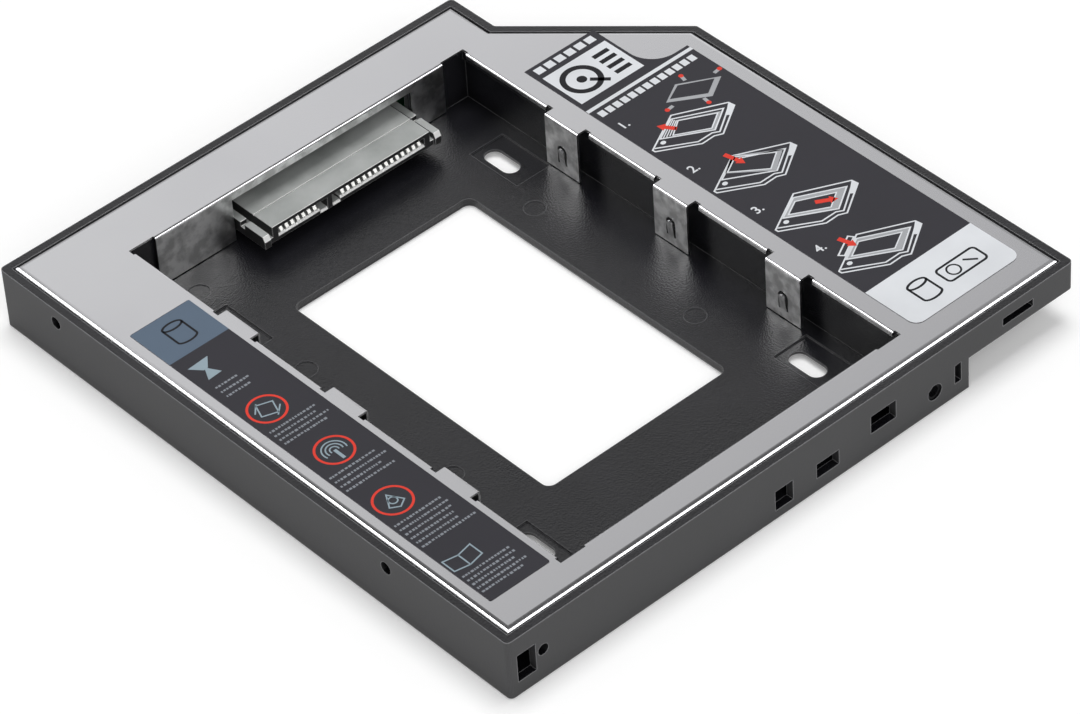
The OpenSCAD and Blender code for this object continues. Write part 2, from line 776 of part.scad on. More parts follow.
module host_plug() {
    left = plug_mid_x - plug_w / 2;
    color("#303136") difference() {
        block(left, plug_y, plug_z, plug_w, plug_l, plug_h);
        difference() {
            block(left + plug_wall, body_d - plug_deep, plug_z + plug_wall,
                plug_w - 2 * plug_wall, plug_deep + reach, plug_h - 2 * plug_wall);
            block(host_x - blade_margin, plug_y, blade_z, host_signal_w + 2 * blade_margin,
                plug_l - blade_back, blade_t);
            block(host_power_x - blade_margin, plug_y, blade_z, host_power_w + 2 * blade_margin,
                plug_l - blade_back, blade_t);
        }
        host_channels(host_x, host_signal_count, contact_pitch);
        host_channels(host_power_x, host_power_count, host_power_pitch);
    }
}

// Contact strip on a tongue of the host plug, bent down to the board in front of it
module host_contact(x) {
    z = blade_z + blade_t;
    step_y = plug_y - contact_gap - contact_t;
    color("#d4d4d0") translate([x - host_contact_w / 2, 0, 0]) {
        block(0, step_y, z, host_contact_w, body_d - host_contact_back - step_y, contact_t);
        block(0, step_y, board_top, host_contact_w, contact_t, z + contact_t - board_top);
        block(0, step_y - foot_l / 2, board_top, host_contact_w, contact_t + foot_l / 2, contact_t);
    }
}

module filter_capacitor(i) {
    x = board_x + capacitor_inset + i * capacitor_pitch;
    color("#b98b5a") translate([x, board_screw_y - capacitor.y / 2, board_top]) cube(capacitor);
}

module guide_label() {
    x = guide_label_x;
    right = x + guide_label_w;
    step = x + guide_label_end_w;
    top = label_y + guide_label_l;
    r = guide_label_hollow_r;
    hollow_y = top - guide_label_neck_l;
    hollow = [for (k = [0 : 2 * arc_steps])
        [step + r, hollow_y + r] - r * [cos(90 * k / (2 * arc_steps)), sin(90 * k / (2 * arc_steps))]];
    color("#3d3d43") translate([0, 0, plate_z]) linear_extrude(label_t)
        polygon(concat(
            corner_arc([x, top], [x, label_y], [right, label_y], guide_label_r),
            corner_arc([x, label_y], [right, label_y], [right, hollow_y], guide_label_r),
            [[right, hollow_y]],
            [for (k = [2 * arc_steps : -1 : 0]) hollow[k]],
            [[step, top], [x, top]]));
}

module side_label() {
    area = box_points(plate_inset + side_label_margin, side_label_front,
        side_label_w, side_label_l);
    color("#3f4046") prism(rounded(area, side_label_r), plate_z, label_t);
}

centred() tray();
centred() top_plate();
centred() drive_receptacle();
centred() circuit_board();
centred() board_screws();
centred() host_plug();
centred() guide_label();
centred() side_label();
for (i = [0 : signal_count - 1])
    centred() drive_contact(signal_x + i * contact_pitch);
for (i = [0 : power_count - 1])
    centred() drive_contact(power_x + i * contact_pitch);
for (i = [0 : host_signal_count - 1])
    centred() host_contact(host_x + i * contact_pitch);
for (i = [0 : host_power_count - 1])
    centred() host_contact(host_power_x + i * host_power_pitch);
for (i = [0 : capacitor_count - 1])
    centred() filter_capacitor(i);
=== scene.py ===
import json
import math

import bmesh
import bpy
import numpy as np
from mathutils import Matrix, Vector


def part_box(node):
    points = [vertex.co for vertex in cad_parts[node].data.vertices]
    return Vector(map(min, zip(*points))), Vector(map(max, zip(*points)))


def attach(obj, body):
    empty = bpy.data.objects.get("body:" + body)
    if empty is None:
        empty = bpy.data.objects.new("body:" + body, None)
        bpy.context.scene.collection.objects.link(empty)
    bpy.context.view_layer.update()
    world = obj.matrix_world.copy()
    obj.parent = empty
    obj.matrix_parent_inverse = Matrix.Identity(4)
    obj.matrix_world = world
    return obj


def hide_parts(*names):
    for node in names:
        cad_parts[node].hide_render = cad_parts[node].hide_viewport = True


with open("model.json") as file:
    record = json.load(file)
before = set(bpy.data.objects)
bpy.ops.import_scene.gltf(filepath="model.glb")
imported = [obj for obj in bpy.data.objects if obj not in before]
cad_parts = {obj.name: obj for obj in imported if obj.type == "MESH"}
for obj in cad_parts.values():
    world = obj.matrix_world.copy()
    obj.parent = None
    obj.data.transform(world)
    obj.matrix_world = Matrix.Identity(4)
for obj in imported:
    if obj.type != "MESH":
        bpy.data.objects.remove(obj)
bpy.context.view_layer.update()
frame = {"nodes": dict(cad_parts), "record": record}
cadNodes = frame["nodes"]
print("frame loaded:", len(cadNodes), "CAD nodes")

mm = 0.001
joinDistance = 0.001 * mm  # points closer than this are one point
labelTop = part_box("guide_label")[1].z
inkStep = 0.01 * mm  # each layer of print is this thick
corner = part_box("tray")[0]  # front left corner of the underside


# Camera at the photograph's place: back along azimuth and elevation, then rolled
cameraPlace = {
    "azimuth": -39.59, "elevation": 41.63, "roll": -4.10,
    "distance": 0.909, "target": (-0.01022, -0.01264, 0.00588),
    "lens": 181.2, "sensor": 36, "nearest": 0.01, "farthest": 20,
}


def buildCamera(place):
    azimuth, elevation, roll = (math.radians(place[k]) for k in ("azimuth", "elevation", "roll"))
    back = Vector((math.sin(azimuth) * math.cos(elevation),
                   -math.cos(azimuth) * math.cos(elevation), math.sin(elevation)))
    right = Vector((math.cos(azimuth), math.sin(azimuth), 0))
    up = back.cross(right)
    rolledRight = right * math.cos(roll) + up * math.sin(roll)
    rolledUp = up * math.cos(roll) - right * math.sin(roll)
    turned = Matrix((rolledRight, rolledUp, back)).transposed().to_4x4()
    data = bpy.data.cameras.new("photo_camera")
    data.lens = place["lens"]
    data.sensor_width = place["sensor"]
    data.clip_start = place["nearest"]
    data.clip_end = place["farthest"]
    camera = bpy.data.objects.new("photo_camera", data)
    camera.matrix_world = Matrix.Translation(Vector(place["target"]) + back * place["distance"]) @ turned
    bpy.context.scene.collection.objects.link(camera)
    bpy.context.scene.camera = camera


# Materials: a node is made, its settings are set, and each input takes a value or a link
def setInput(tree, socket, value):
    if isinstance(value, bpy.types.NodeSocket):
        tree.links.new(value, socket)
    else:
        socket.default_value = value


def addNode(tree, kind, settings=None, inputs=None):
    made = tree.nodes.new(kind)
    for name, value in (settings or {}).items():
        setattr(made, name, value)
    for name, value in (inputs or {}).items():
        setInput(tree, made.inputs[name], value)
    return made


def calculate(tree, operation, *values):
    made = addNode(tree, "ShaderNodeMath", {"operation": operation}, dict(enumerate(values)))
    return made.outputs[0]


def calculateVector(tree, operation, *values):
    made = addNode(tree, "ShaderNodeVectorMath", {"operation": operation}, dict(enumerate(values)))
    return made.outputs["Value" if operation == "DOT_PRODUCT" else "Vector"]


# From start to end the value is spread between low and high, and held beyond them
def mapRange(tree, value, start, end, low=0.0, high=1.0, curve="LINEAR"):
    made = addNode(tree, "ShaderNodeMapRange", {"interpolation_type": curve}, {
        "Value": value, "From Min": start, "From Max": end, "To Min": low, "To Max": high})
    return made.outputs["Result"]


# First where the mask is 0, second where it is 1
def mixValues(tree, kind, mask, first, second):
    mix = addNode(tree, "ShaderNodeMix", {"data_type": "FLOAT" if kind == "VALUE" else kind})
    sides = [s for s in mix.inputs if s.type == kind and s.name in ("A", "B")]
    for socket, value in zip((mix.inputs[0], *sides), (mask, first, second)):
        setInput(tree, socket, value)
    return next(s for s in mix.outputs if s.type == kind)


def gradient(tree, value, stops):
    ramp = addNode(tree, "ShaderNodeValToRGB", inputs={"Fac": value})
    points = ramp.color_ramp.elements
    while len(points) < len(stops):
        points.new(0.5)
    for point, (place, shade) in zip(points, stops):
        point.position = place
        point.color = (*shade, 1) if len(shade) == 3 else (shade[0], shade[0], shade[0], 1)
    return ramp.outputs["Color"]


def twoShades(tree, value, span, low, high):
    return gradient(tree, value, list(zip(span, (low, high))))


def objectPlace(tree):
    return addNode(tree, "ShaderNodeTexCoord").outputs["Object"]


def objectNormal(tree):
    return addNode(tree, "ShaderNodeTexCoord").outputs["Normal"]


def noise(tree, place, scale, detail):
    made = addNode(tree, "ShaderNodeTexNoise", inputs={
        "Vector": place, "Scale": scale, "Detail": detail})
    return made.outputs["Fac"]


def bumped(tree, height, strength, distance):
    made = addNode(tree, "ShaderNodeBump", inputs={
        "Height": height, "Strength": strength, "Distance": distance})
    return made.outputs["Normal"]


def emptyMaterial(name):
    material = bpy.data.materials.new(name)
    material.use_nodes = True
    material.node_tree.nodes.clear()
    return material, material.node_tree


# Finish of a solid: one noise varies its shade and roughness, a finer one is its texture
finishNoise = {"span": (0.3, 0.7), "cloudDetail": 4, "textureDetail": 2, "patchDetail": 6}


def buildFinish(name, look):
    material, tree = emptyMaterial(name)
    place = objectPlace(tree)
    span = finishNoise["span"]
    cloud = noise(tree, place, look["cloudScale"], finishNoise["cloudDetail"])
    texture = noise(tree, place, look["textureScale"], finishNoise["textureDetail"])
    shader = addNode(tree, "ShaderNodeBsdfPrincipled", inputs={
        "Base Color": twoShades(tree, cloud, span, look["dark"], look["light"]),
        "Roughness": twoShades(tree, cloud, span, (look["smooth"],), (look["rough"],)),
        "Normal": bumped(tree, texture, look["bump"], look["bumpHeight"]),
        "Metallic": look.get("metal", 0), "Specular IOR Level": look.get("specular", 0.5)})
    addNode(tree, "ShaderNodeOutputMaterial", inputs={"Surface": shader.outputs["BSDF"]})
    return material, tree, shader


# What feeds a shader's input is mixed with a second value by a mask
def blendInput(tree, shader, name, mask, second):
    socket = shader.inputs[name]
    first = socket.links[0].from_socket
    tree.links.new(mixValues(tree, socket.type, mask, first, second), socket)


# 1 where a face looks up, 0 elsewhere
def facingUp(tree, low=0.6, high=0.9):
    parts = addNode(tree, "ShaderNodeSeparateXYZ", inputs={"Vector": objectNormal(tree)})
    return mapRange(tree, parts.outputs["Z"], low, high)


# 1 where a face looks along the given direction, 0 elsewhere
def facing(tree, direction, low, high):
    return mapRange(tree, calculateVector(tree, "DOT_PRODUCT", objectNormal(tree), direction), low, high)


# 1 inside an upright shaft given by its middle and half its size, at any height
def insideBox(tree, middle, half):
    away = calculateVector(tree, "SUBTRACT", objectPlace(tree), middle)
    over = calculateVector(tree, "SUBTRACT", calculateVector(tree, "ABSOLUTE", away), half)
    parts = addNode(tree, "ShaderNodeSeparateXYZ", inputs={"Vector": over}).outputs
    return calculate(tree, "LESS_THAN", calculate(tree, "MAXIMUM", parts["X"], parts["Y"]), 0.0)


# Likeness of the rounded normal to the face's own at which the painted edge highlight starts
# and is full, and openness at which the painted recess shade starts and is full
paintedLightMasks = {"samples": 4, "edgeLikeness": (0.99, 0.9), "recessOpenness": (0.88, 0.45)}


# Painted edge highlight: 1 where the rounded normal leaves the face's own, fading to 0 on the flats
def paintedEdgeHighlight(tree, radius):
    bevel = addNode(tree, "ShaderNodeBevel", {"samples": paintedLightMasks["samples"]}, {"Radius": radius})
    own = addNode(tree, "ShaderNodeNewGeometry").outputs["Normal"]
    likeness = calculateVector(tree, "DOT_PRODUCT", bevel.outputs["Normal"], own)
    return mapRange(tree, likeness, *paintedLightMasks["edgeLikeness"])


# Painted recess shade: 1 deep in a hole or a corner of the same piece, 0 on open faces
def recess(tree, reach):
    settings = {"samples": paintedLightMasks["samples"], "only_local": True}
    openness = addNode(tree, "ShaderNodeAmbientOcclusion", settings, {"Distance": reach})
    return mapRange(tree, openness.outputs["AO"], *paintedLightMasks["recessOpenness"])


# Tray: matt and finely textured sides, smoother and speckled round the bay, and darker on every upward
# face, which is painted shade outside the bay
trayLook = {
    "dark": (0.052, 0.052, 0.054), "light": (0.064, 0.064, 0.066), "smooth": 0.44, "rough": 0.54,
    "cloudScale": 60, "textureScale": 2600, "bump": 0.35, "bumpHeight": 0.00005, "specular": 0.3,
    "bayMiddle": (-0.00765, -0.0026, 0), "bayHalf": (0.0387, 0.0550, 1),
    "bayDark": (0.007, 0.007, 0.009), "bayLight": (0.014, 0.014, 0.017), "bayShadeSpan": (0.35, 0.7),
    "baySmooth": 0.14, "bayRough": 0.22, "baySpecular": 0.52,
    "speckleScale": 3000, "speckleDetail": 3, "speckleBump": 0.9, "speckleHeight": 0.00010,
    "edgeRadius": 0.00025, "edgeHighlightShade": (0.30, 0.30, 0.31, 1), "bayEdgeHighlight": 0.35,
    "recessReach": 0.0035, "recessPaintedShade": (0.006, 0.006, 0.007, 1),
    "ringMiddle": (0.031, -0.0640, 0), "ringHalf": (0.0025, 0.00035, 1),
}


def buildTrayFinish(look):
    material, tree, shader = buildFinish("tray_moulding", look)
    inBay = insideBox(tree, look["bayMiddle"], look["bayHalf"])
    # The bay's own darker shade also goes on every upward face; outside the bay that darker top is
    # painted shade
    bay = calculate(tree, "MAXIMUM", inBay, facingUp(tree))
    place = objectPlace(tree)
    cloud = noise(tree, place, look["cloudScale"], finishNoise["patchDetail"])
    speckle = noise(tree, place, look["speckleScale"], look["speckleDetail"])
    shade = twoShades(tree, cloud, look["bayShadeSpan"], look["bayDark"], look["bayLight"])
    rough = twoShades(tree, cloud, finishNoise["span"], (look["baySmooth"],), (look["bayRough"],))
    shine = mapRange(tree, bay, 0.0, 1.0, look["specular"], look["baySpecular"])
    blendInput(tree, shader, "Base Color", bay, shade)
    blendInput(tree, shader, "Roughness", bay, rough)
    setInput(tree, shader.inputs["Specular IOR Level"], shine)
    bump = bumped(tree, speckle, look["speckleBump"], look["speckleHeight"])
    blendInput(tree, shader, "Normal", bay, bump)
    # Painted shade darkens the tray in its holes and corners
    blendInput(tree, shader, "Base Color", recess(tree, look["recessReach"]), look["recessPaintedShade"])
    # Painted highlight along the tray's edges, weaker in the bay
    lessInBay = mapRange(tree, inBay, 0.0, 1.0, 1.0, look["bayEdgeHighlight"])
    edgeHighlightMask = calculate(tree, "MULTIPLY", paintedEdgeHighlight(tree, look["edgeRadius"]), lessInBay)
    blendInput(tree, shader, "Base Color", edgeHighlightMask, look["edgeHighlightShade"])
    # Painted shade inside the sunk ring on the tray's front face
    sunkRingShade = insideBox(tree, look["ringMiddle"], look["ringHalf"])
    blendInput(tree, shader, "Base Color", sunkRingShade, look["recessPaintedShade"])
    return material


# Sheet: smooth on top, duller where it was folded down, with painted blotchy reflections on the
# folded-down faces
steelLook = {
    "dark": (0.55, 0.55, 0.565), "light": (0.60, 0.60, 0.62), "smooth": 0.18, "rough": 0.26,
    "cloudScale": 22, "textureScale": 2400, "bump": 0.05, "bumpHeight": 0.00002, "metal": 1,
    "foldTurn": (0.1, 0.6), "foldSpan": (0.4, 0.62), "foldScale": 420, "foldRough": 0.34,
    "foldReflectionDark": (0.54, 0.54, 0.54), "foldReflectionLight": (0.90, 0.90, 0.90),
}


def buildSheetFinish(look):
    material, tree, shader = buildFinish("satin_sheet_steel", look)
    upright = calculate(tree, "SUBTRACT", 1.0, facingUp(tree, *look["foldTurn"]))
    # Upright faces get painted blotchy reflections, paler than the flat top
    paintedFoldReflection = noise(tree, objectPlace(tree), look["foldScale"], finishNoise["patchDetail"])
    shade = twoShades(tree, paintedFoldReflection, look["foldSpan"], look["foldReflectionDark"], look["foldReflectionLight"])
    blendInput(tree, shader, "Base Color", upright, shade)
    blendInput(tree, shader, "Roughness", upright, look["foldRough"])
    return material


# Receptacle: black at its sides, with paler grey and shinier upper faces as in the photograph, and a
# painted highlight on its edges and on the lip's chamfer
receptacleLook = {
    "dark": (0.014, 0.014, 0.015), "light": (0.024, 0.024, 0.025), "smooth": 0.35, "rough": 0.5,
    "cloudScale": 140, "textureScale": 3000, "bump": 0.2, "bumpHeight": 0.00004, "specular": 0.4,
    "upperTurn": (0.3, 0.6), "upperDark": (0.29, 0.305, 0.297), "upperLight": (0.44, 0.455, 0.447),
    "upperSpecular": 1.0, "edgeRadius": 0.00015, "edgeHighlightShade": (0.5, 0.5, 0.5, 1),
    "lipDirection": (0, -0.707, 0.707), "lipTurn": (0.74, 0.85), "lipHighlightShade": (0.85, 0.85, 0.84, 1),
}


def buildReceptacleFinish(look):
    material, tree, shader = buildFinish("receptacle_satin", look)
    cloud = noise(tree, objectPlace(tree), look["cloudScale"], finishNoise["patchDetail"])
    shade = twoShades(tree, cloud, finishNoise["span"], look["upperDark"], look["upperLight"])
    upper = facingUp(tree, *look["upperTurn"])
    shine = mapRange(tree, upper, 0.0, 1.0, look["specular"], look["upperSpecular"])
    # Painted highlight: the lip's chamfer below the contacts is near white
    lip = facing(tree, look["lipDirection"], *look["lipTurn"])
    blendInput(tree, shader, "Base Color", upper, shade)
    setInput(tree, shader.inputs["Specular IOR Level"], shine)
    # Painted highlight along the receptacle's edges
    blendInput(tree, shader, "Base Color", paintedEdgeHighlight(tree, look["edgeRadius"]), look["edgeHighlightShade"])
    blendInput(tree, shader, "Base Color", lip, look["lipHighlightShade"])
    return material


contactLook = {
    "dark": (0.80, 0.80, 0.77), "light": (0.92, 0.92, 0.90), "smooth": 0.25, "rough": 0.36,
    "cloudScale": 300, "textureScale": 5000, "bump": 0.08, "bumpHeight": 0.00001, "metal": 1,
}
boardLook = {
    "dark": (0.012, 0.07, 0.03), "light": (0.02, 0.11, 0.05), "smooth": 0.2, "rough": 0.3,
    "cloudScale": 200, "textureScale": 4000, "bump": 0.15, "bumpHeight": 0.00003,
}
screwLook = {
    "dark": (0.52, 0.52, 0.54), "light": (0.62, 0.62, 0.64), "smooth": 0.25, "rough": 0.38,
    "cloudScale": 400, "textureScale": 3500, "bump": 0.12, "bumpHeight": 0.00002, "metal": 1,
}
plugLook = {
    "dark": (0.020, 0.020, 0.021), "light": (0.030, 0.030, 0.031), "smooth": 0.38, "rough": 0.5,
    "cloudScale": 150, "textureScale": 3000, "bump": 0.2, "bumpHeight": 0.00004,
}
capacitorLook = {
    "dark": (0.30, 0.19, 0.10), "light": (0.42, 0.28, 0.15), "smooth": 0.3, "rough": 0.45,
    "cloudScale": 800, "textureScale": 6000, "bump": 0.1, "bumpHeight": 0.00001,
}

# Print: each ink varies a little round its own shade
inkLook = {
    "smooth": 0.36, "rough": 0.48, "cloudScale": 70, "textureScale": 2200,
    "bump": 0.12, "bumpHeight": 0.00002, "specular": 0.2,
}
inkVariation = (0.93, 1.06)
printShades = {
    "film": (0.036, 0.035, 0.042), "white": (0.74, 0.76, 0.79), "silver": (0.40, 0.41, 0.43),
    "red": (0.74, 0.055, 0.036), "blue": (0.110, 0.150, 0.205), "black": (0.012, 0.012, 0.015),
    "pale": (0.30, 0.38, 0.43), "grey": (0.26, 0.28, 0.31),
}


def printLook(shade):
    dark, light = (tuple(part * share for part in shade) for share in inkVariation)
    return {"dark": dark, "light": light, **inkLook}


printFinishes = {
    name: buildFinish("print_" + name, printLook(shade))[0] for name, shade in printShades.items()}
slotFinishes = {
    "tray_plastic": buildTrayFinish(trayLook),
    "sheet_steel": buildSheetFinish(steelLook),
    "receptacle_plastic": buildReceptacleFinish(receptacleLook),
    "board_laminate": buildFinish("board_lacquer", boardLook)[0],
    "screw_steel": buildFinish("plated_screw", screwLook)[0],
    "plug_plastic": buildFinish("plug_moulding", plugLook)[0],
    "contact_metal": buildFinish("plated_strip", contactLook)[0],
    "capacitor_ceramic": buildFinish("capacitor_body", capacitorLook)[0],
    "guide_print": printFinishes["film"],
    "side_print": printFinishes["film"],
}
print("finishes built:", len(slotFinishes) + len(printFinishes))


# CAD nodes keep their meshes: by modifiers their loose triangles are joined, flats are
# merged and edges get a small round. Rounds are in millimetres, by kind of node, 0 for none
edgeRounds = {
    "tray": 0, "top_plate": 0.05, "drive_receptacle": 0.1, "host_plug": 0.1,
    "signal_contact": 0.16, "power_contact": 0.16,
}
edgeSettings = {"join": 0.002, "flatAngle": 0.5, "edgeAngle": 35, "segments": 2, "flatWeight": 100}


def roundEdges(node, width, settings):
    weld = node.modifiers.new("join", "WELD")
    weld.merge_threshold = settings["join"] * mm
    flats = node.modifiers.new("flats", "DECIMATE")
    flats.decimate_type = "DISSOLVE"
    flats.angle_limit = math.radians(settings["flatAngle"])
    if width:
        edge = node.modifiers.new("edge", "BEVEL")
        edge.width = width * mm
        edge.segments = settings["segments"]
        edge.limit_method = "ANGLE"
        edge.angle_limit = math.radians(settings["edgeAngle"])
        edge.harden_normals = False
    shading = node.modifiers.new("shading", "WEIGHTED_NORMAL")
    shading.mode = "FACE_AREA"
    shading.weight = settings["flatWeight"]
    shading.keep_sharp = True


def dressCadNodes():
    slotOf = {part["node"]: part["material_slot"] for part in frame["record"]["subparts"]}
    for name, node in cadNodes.items():
        node.data.materials.clear()
        node.data.materials.append(slotFinishes[slotOf[name]])
        kind = name.rstrip("0123456789_")
        if kind in edgeRounds:
            roundEdges(node, edgeRounds[kind], edgeSettings)


# Printed shapes, in millimetres from the frame's front left corner
def closedOutline(points):
    outline = np.asarray(points, float)
    following = np.roll(outline, -1, axis=0)
    area = np.sum(outline[:, 0] * following[:, 1] - following[:, 0] * outline[:, 1])
    return outline if area > 0 else outline[::-1]


# Slab: the outline at a low and a high level, joined by its sides and closed by two flats
def slab(points, low, high):
    outline = closedOutline(points)
    count = len(outline)
    loop = np.arange(count)
    following = np.roll(loop, -1)
    grid = np.vstack([np.column_stack([outline, np.full(count, level)]) for level in (low, high)])
    sides = np.column_stack([loop, following, following + count, loop + count])
    return grid, [loop[::-1].tolist(), (loop + count).tolist(), *sides.tolist()]


# Ring: four loops of equal length, joined to a closed tube of rectangular section
def ring(outer, inner, low, high, closed=True):
    count = len(outer)
    grid = np.vstack([
        np.column_stack([rim, np.full(count, level)])
        for rim, level in ((outer, low), (outer, high), (inner, high), (inner, low))])
    start = np.arange(count if closed else count - 1)
    end = (start + 1) % count
    quads = np.vstack([
        np.column_stack([start + a * count, end + a * count, end + b * count, start + b * count])
        for a, b in ((0, 1), (1, 2), (2, 3), (3, 0))]).tolist()
    if not closed:
        quads.append([0, count, 2 * count, 3 * count])
        quads.append([4 * count - 1, 3 * count - 1, 2 * count - 1, count - 1])
    return grid, quads


leastCosine = 0.35  # keeps the tip of a line's sharp corner short


# Line: at each point the path moves sideways by half the width, along the middle of the
# two directions that meet there, to both sides
def line(points, width, low, high, closed=True):
    path = closedOutline(points) if closed else np.asarray(points, float)
    ahead = np.roll(path, -1, axis=0) - path
    ahead /= np.linalg.norm(ahead, axis=1, keepdims=True)
    behind = np.roll(ahead, 1, axis=0)
    if not closed:
        ahead[-1] = ahead[-2]
        behind[0] = ahead[0]
    middle = ahead + behind
    middle /= np.linalg.norm(middle, axis=1, keepdims=True)
    sideways = np.column_stack([middle[:, 1], -middle[:, 0]])
    stretch = 1 / np.clip(np.sum(middle * ahead, axis=1, keepdims=True), leastCosine, 1)
    reach = sideways * stretch * width / 2
    return ring(path + reach, path - reach, low, high, closed)


# Open line, such as a stroke that ends at both its points
def stroke(points, width, low, high):
    return line(points, width, low, high, closed=False)


# Arc: centre plus the radii times cosine and sine, over count steps
def arc(centre, radius, start=0, end=360, count=32):
    across, along = radius if isinstance(radius, tuple) else (radius, radius)
    angles = np.radians(np.linspace(start, end, count, endpoint=abs(end - start) < 360))
    return np.column_stack([centre[0] + across * np.cos(angles), centre[1] + along * np.sin(angles)])


def rectangle(x0, x1, y0, y1):
    return [(x0, y0), (x1, y0), (x1, y1), (x0, y1)]


# Rectangle with rounds of the given radii at its corners, from the front left one round
def softRectangle(x0, x1, y0, y1, radii, steps=7):
    centres = [(x0, y0, 1, 1), (x1, y0, -1, 1), (x1, y1, -1, -1), (x0, y1, 1, -1)]
    rounds = []
    for turn, ((x, y, inwardX, inwardY), radius) in enumerate(zip(centres, radii)):
        start = 180 + 90 * turn
        middle = (x + inwardX * radius, y + inwardY * radius)
        rounds.append(arc(middle, radius, start, start + 90, steps) if radius else np.array([(x, y)]))
    return np.vstack(rounds)


def moved(points, place):
    return [(x + place[0], y + place[1]) for x, y in points]


blockShare = 0.75  # the rest of each block's room is a gap


# Blocks of equal width in a row between two ends
def blocks(x0, x1, y0, y1, count, level):
    pitch = (x1 - x0) / count
    starts = [x0 + i * pitch for i in range(count)]
    return [slab(rectangle(x, x + blockShare * pitch, y0, y1), *level) for x in starts]


def arrow(tail, tip, width, head, low, high):
    tail, tip = np.array(tail), np.array(tip)
    along = (tip - tail) / np.linalg.norm(tip - tail)
    aside = np.array([-along[1], along[0]]) / 2
    neck = tip - along * head[1]
    return slab([tail + aside * width, neck + aside * width, neck + aside * head[0],
                 tip, neck - aside * head[0], neck - aside * width, tail - aside * width],
                low, high)


cylinderView = {"slope": 0.42, "steps": 13}


# Cylinder seen from above: half an ellipse below, half above, and the lid's front half
def cylinderLines(x0, x1, y0, y1, width, level):
    middle, across = (x0 + x1) / 2, (x1 - x0) / 2
    depth = across * cylinderView["slope"]
    radii, steps = (across, depth), cylinderView["steps"]
    body = np.vstack([arc((middle, y0 + depth), radii, 180, 360, steps),
                      arc((middle, y1 - depth), radii, 0, 180, steps)])
    lid = arc((middle, y1 - depth), radii, 180, 360, steps)
    return [line(body, width, *level), stroke(lid, width, *level)]


# Pieces: a mesh gets its finish and rides on the frame's only body
def addPiece(name, mesh, finish):
    mesh.materials.clear()
    mesh.materials.append(printFinishes[finish])
    mesh.update()
    piece = bpy.data.objects.new(name, mesh)
    bpy.context.scene.collection.objects.link(piece)
    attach(piece, "root")
    return piece


def joinPoints(mesh):
    work = bmesh.new()
    work.from_mesh(mesh)
    bmesh.ops.remove_doubles(work, verts=work.verts, dist=joinDistance)
    bmesh.ops.recalc_face_normals(work, faces=work.faces)
    work.to_mesh(mesh)
    work.free()


def buildPrint(name, shapes, finish):
    total = 0
    grids = []
    faces = []
    for grid, quads in shapes:
        grids.append(grid)
        faces.extend([[i + total for i in quad] for quad in quads])
        total += len(grid)
    points = np.vstack(grids) * [mm, mm, 1] + [corner.x, corner.y, 0]
    mesh = bpy.data.meshes.new(name)
    mesh.from_pydata(points.tolist(), [], faces)
    addPiece(name, mesh, finish)


# Levels of the film and of two layers of ink on it
filmLevel = labelTop - 2 * inkStep
firstInk = (filmLevel - inkStep, labelTop - inkStep)
secondInk = (filmLevel - inkStep, labelTop)


# Film: a copy of the CAD label, joined, with its upper face lowered by the ink
def buildFilm(name, nodeName):
    mesh = cadNodes[nodeName].data.copy()
    mesh.name = name
    joinPoints(mesh)
    levels = np.zeros(len(mesh.vertices) * 3)
    mesh.vertices.foreach_get("co", levels)
    levels = levels.reshape(-1, 3)
    levels[levels[:, 2] > filmLevel, 2] = filmLevel
    mesh.vertices.foreach_set("co", levels.ravel())
    piece = addPiece(name, mesh, "film")
    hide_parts(nodeName)


# Guide label: places are millimetres, areas are left, right, front and rear
guidePrint = {
    "left": 97.7, "right": 122.7, "front": 6.9,
    "fieldEnd": 18.9, "fieldRounds": (2, 2, 0, 0),
    "rule": (86.9, 87.7), "heading": (98.7, 121.9, 84.4, 86.0), "headingBlocks": 13,
    "panel": (98.6, 113.5, 89.7, 99.9), "strip": (98.9, 113.3, 101.1, 102.8), "stripBlocks": 6,
    "frames": [(98.55, 71.6), (98.35, 56.0), (98.55, 41.2), (98.5, 25.9)],
    "numbers": [(98.8, 79.4), (99.1, 62.1), (99.2, 46.4), (99.5, 31.6)],
    "arrows": [((105.5, 72.9), (103.5, 75.9)), ((106.3, 61.9), (107.3, 57.6)),
               ((108.3, 41.6), (111.8, 39.5)), ((104.3, 32.0), (105.3, 28.4))],
    "lineWidth": 0.3, "arrowWidth": 0.95, "arrowHead": (1.9, 1.5),
    "numberHeight": 1.9, "capitalShare": 0.7, "numberSwell": 0.04,
}

# A tray drawn at a slant: outline, upper edge, lit end, bay, and a knob near its left end
trayDrawing = {
    "outline": [(0, 0), (8.75, 4.65), (18.15, 0.05), (18.35, -1.25), (11.6, -5.5),
                (10.1, -4.8), (7.25, -4.85), (0.05, -0.6)],
    "edge": [(0.5, 0.15), (7.1, -3.95), (10.4, -3.95), (11.6, -4.65), (15.3, -2.2), (17.95, -0.4)],
    "end": [(18.1, 0.05), (18.3, -1.25), (16.05, -2.7), (15.4, -2.15)],
    "bay": [(8.0, 3.9), (16.4, -0.5), (11.35, -3.7), (3.0, 1.3)],
    "knob": (2.7, 0.2), "knobRadius": (0.55, 0.45), "knobSteps": 16,
    "innerShare": 0.8, "stripeShare": 0.7,
}
